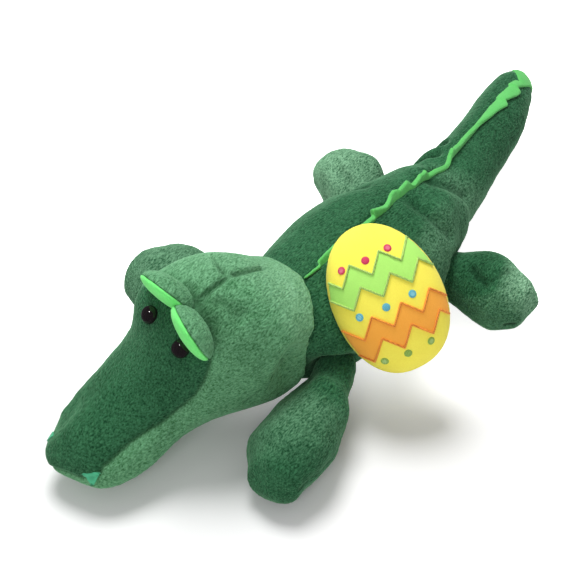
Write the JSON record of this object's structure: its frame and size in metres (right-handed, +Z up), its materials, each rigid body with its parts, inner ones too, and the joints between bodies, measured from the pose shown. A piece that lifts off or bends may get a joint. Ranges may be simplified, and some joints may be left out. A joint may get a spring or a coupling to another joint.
{
  "type": "plush crocodile",
  "caption": "Stuffed plush crocodile lying on its belly, with a green saw-toothed crest and a stuffed decorated egg sewn to its flank.",
  "frame": {"origin": "on the floor, in the middle of the flat that the belly rests on", "axes": "+Z up, -Y towards the snout, +Y towards the tail, +X towards the crocodile's left side"},
  "size_m": [0.2344, 0.4631, 0.1122],
  "materials": {
    "dark_plush": "short pile, soft sheen",
    "mid_plush": "short pile, soft sheen",
    "light_green_felt": "short nap, matte",
    "mint_felt": "short nap, matte",
    "yellow_plush": "very short pile, matte",
    "lime_cloth": "very short pile, matte",
    "orange_cloth": "very short pile, matte",
    "stuffing": "loose fibre filling",
    "eye_plastic": "glossy",
    "washer_plastic": "matte"
  },
  "bodies": {
    "torso": {"belly_panel": "dark_plush", "egg_back_panel": "yellow_plush", "egg_front_panel": "yellow_plush", "egg_green_band": "lime_cloth", "egg_orange_band": "orange_cloth", "egg_stuffing": "stuffing", "spine_crest": "light_green_felt", "torso_left_panel": "dark_plush", "torso_right_panel": "dark_plush", "torso_stuffing": "stuffing"},
    "head": {"chin_panel": "mid_plush", "head_left_panel": "mid_plush", "head_right_panel": "mid_plush", "head_stuffing": "stuffing", "left_eye_button": "eye_plastic", "left_eye_washer": "washer_plastic", "left_eyelid_lining": "light_green_felt", "left_eyelid_pad": "mid_plush", "left_nostril": "mint_felt", "right_eye_button": "eye_plastic", "right_eye_washer": "washer_plastic", "right_eyelid_lining": "light_green_felt", "right_eyelid_pad": "mid_plush", "right_nostril": "mint_felt", "snout_top_panel": "dark_plush"},
    "tail": {"tail_crest": "light_green_felt", "tail_left_panel": "dark_plush", "tail_right_panel": "dark_plush", "tail_stuffing": "stuffing", "tail_tip_patch": "light_green_felt"},
    "front_left_leg": {"front_left_leg_sole_panel": "dark_plush", "front_left_leg_stuffing": "stuffing", "front_left_leg_top_panel": "dark_plush"},
    "front_right_leg": {"front_right_leg_sole_panel": "dark_plush", "front_right_leg_stuffing": "stuffing", "front_right_leg_top_panel": "dark_plush"},
    "hind_left_leg": {"hind_left_leg_sole_panel": "dark_plush", "hind_left_leg_stuffing": "stuffing", "hind_left_leg_top_panel": "dark_plush"},
    "hind_right_leg": {"hind_right_leg_sole_panel": "dark_plush", "hind_right_leg_stuffing": "stuffing", "hind_right_leg_top_panel": "dark_plush"}
  },
  "joints": [
    {"name": "head_lift", "type": "hinge", "parent": "torso", "child": "head", "pos_m": [-0.013, -0.056, 0.046], "axis": [-0.9461, 0.2845, 0.1549], "range_deg": [0, 10], "stiffness_Nm_per_rad": 0.5},
    {"name": "tail_sway", "type": "hinge", "parent": "torso", "child": "tail", "pos_m": [-0.001, 0.114, 0.037], "axis": [0, 0, 1], "range_deg": [-14, 14], "stiffness_Nm_per_rad": 0.2},
    {"name": "front_left_leg_swing", "type": "hinge", "parent": "torso", "child": "front_left_leg", "pos_m": [0.034, -0.05, 0.027], "axis": [0, 0, 1], "range_deg": [0, 18], "stiffness_Nm_per_rad": 0.1},
    {"name": "front_right_leg_swing", "type": "hinge", "parent": "torso", "child": "front_right_leg", "pos_m": [-0.043, -0.032, 0.024], "axis": [0, 0, 1], "range_deg": [-15, 3], "stiffness_Nm_per_rad": 0.1},
    {"name": "hind_left_leg_swing", "type": "hinge", "parent": "torso", "child": "hind_left_leg", "pos_m": [0.04, 0.069, 0.024], "axis": [0, 0, 1], "range_deg": [-14, 14], "stiffness_Nm_per_rad": 0.1},
    {"name": "hind_right_leg_swing", "type": "hinge", "parent": "torso", "child": "hind_right_leg", "pos_m": [-0.035, 0.088, 0.024], "axis": [0, 0, 1], "range_deg": [-10, 14], "stiffness_Nm_per_rad": 0.1}
  ]
}
